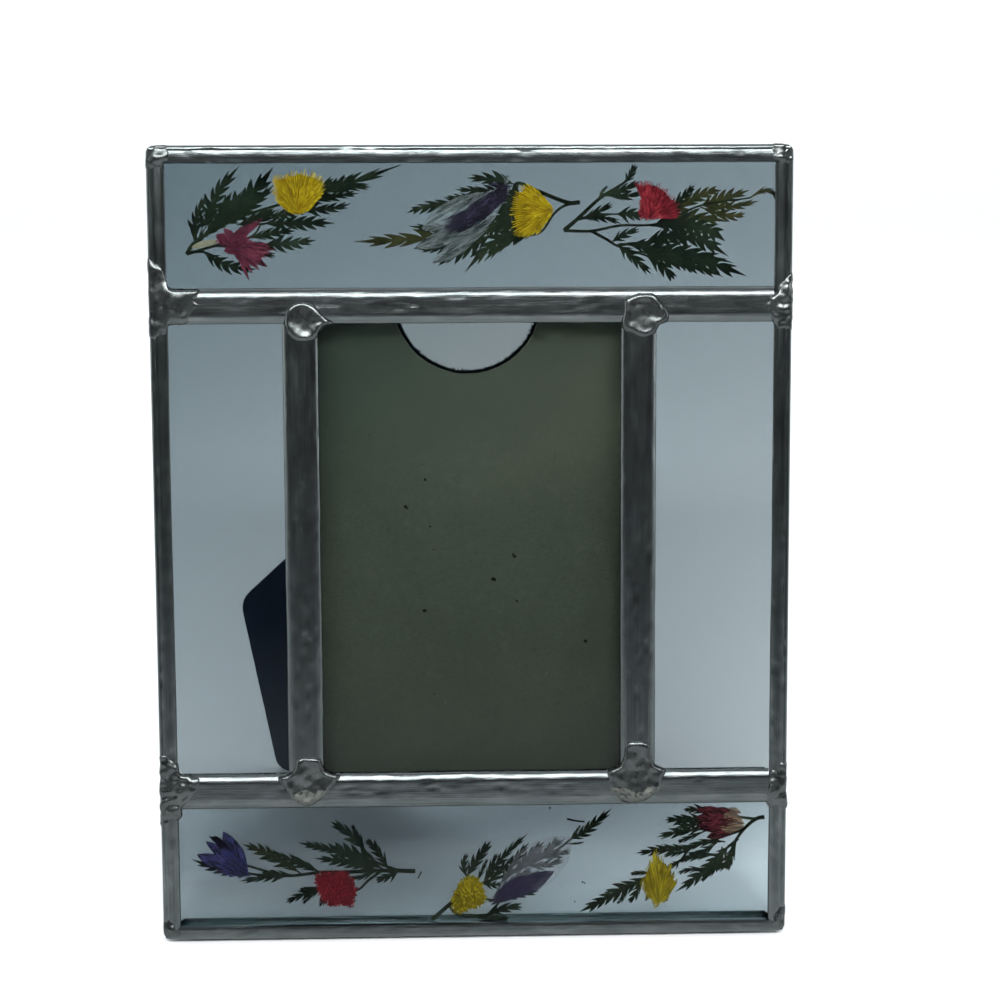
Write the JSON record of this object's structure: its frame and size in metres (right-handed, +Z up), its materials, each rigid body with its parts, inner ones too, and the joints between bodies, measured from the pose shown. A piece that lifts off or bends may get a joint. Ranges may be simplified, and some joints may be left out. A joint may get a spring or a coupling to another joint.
{
  "type": "pressed flower frame",
  "caption": "Small leaded-glass standing photo frame with pressed flower sprays sealed between panes above and below the picture space, and a folding velour easel leg.",
  "frame": {"origin": "on the surface the frame stands on, below the middle of the whole frame", "axes": "+X to the viewer's right along the frame's width, +Y from the viewer through the glass to the easel leg, +Z up"},
  "size_m": [0.12, 0.0716, 0.1464],
  "materials": {
    "came": "dull pewter-grey lead came, burnished along its edges, with fine lengthwise scratches",
    "solder": "lumpy bright solder with grey oxide in its hollows",
    "glass": "clear polished glass, faintly smudged",
    "leaf": "dry matt pressed leaf, dark green going olive",
    "petal_yellow": "dry matt pressed petals, golden yellow",
    "petal_red": "dry matt pressed petals, brick red",
    "petal_crimson": "dry pressed petals, crimson with pale translucent parts",
    "petal_purple": "thin pressed petals, dark purple fading to grey-white",
    "petal_violet": "dry pressed petals, violet blue",
    "petal_maroon": "dry pressed petals, maroon fading to beige",
    "chipboard": "grey-green pressed chipboard with fibres and dark flecks",
    "velour": "short-pile navy velour"
  },
  "bodies": {
    "frame": {"came_left": "came", "came_right": "came", "came_top": "came", "came_bottom": "came", "bar_upper": "came", "bar_lower": "came", "upright_left": "came", "upright_right": "came", "track_bottom": "came", "track_left": "came", "track_right": "came", "glass_top_front": "glass", "glass_top_back": "glass", "glass_bottom_front": "glass", "glass_bottom_back": "glass", "glass_left": "glass", "glass_centre": "glass", "glass_right": "glass", "sprig_top_left": "leaf", "sprig_top_middle": "leaf", "sprig_top_right": "leaf", "sprig_bottom_left": "leaf", "sprig_bottom_middle": "leaf", "sprig_bottom_right": "leaf", "leaf_crumb": "leaf", "flower_yellow_top_left": "petal_yellow", "flower_crimson_top_left": "petal_crimson", "flower_purple_top": "petal_purple", "flower_yellow_top": "petal_yellow", "flower_red_top_right": "petal_red", "flower_violet_bottom_left": "petal_violet", "flower_red_bottom_left": "petal_red", "flower_yellow_bottom": "petal_yellow", "flower_purple_bottom": "petal_purple", "flower_maroon_bottom_right": "petal_maroon", "flower_yellow_bottom_right": "petal_yellow", "backing_board": "chipboard", "backing_velour": "velour", "leg_tab": "velour", "solder_corner_top_left": "solder", "solder_corner_top_right": "solder", "solder_corner_bottom_left": "solder", "solder_corner_bottom_right": "solder", "solder_tee_upper_left": "solder", "solder_tee_upper_right": "solder", "solder_tee_lower_left": "solder", "solder_tee_lower_right": "solder", "solder_joint_upper_left_front": "solder", "solder_joint_upper_left_back": "solder", "solder_joint_upper_right_front": "solder", "solder_joint_upper_right_back": "solder", "solder_joint_lower_left_front": "solder", "solder_joint_lower_left_back": "solder", "solder_joint_lower_right_front": "solder", "solder_joint_lower_right_back": "solder"},
    "leg": {"easel_leg": "velour"}
  },
  "joints": [
    {"name": "easel_fold", "type": "hinge", "parent": "frame", "child": "leg", "pos_m": [0.0009, -0.0052, 0.06703], "axis": [0.7071, -0.183, -0.683], "range_deg": [-35, 0]}
  ]
}
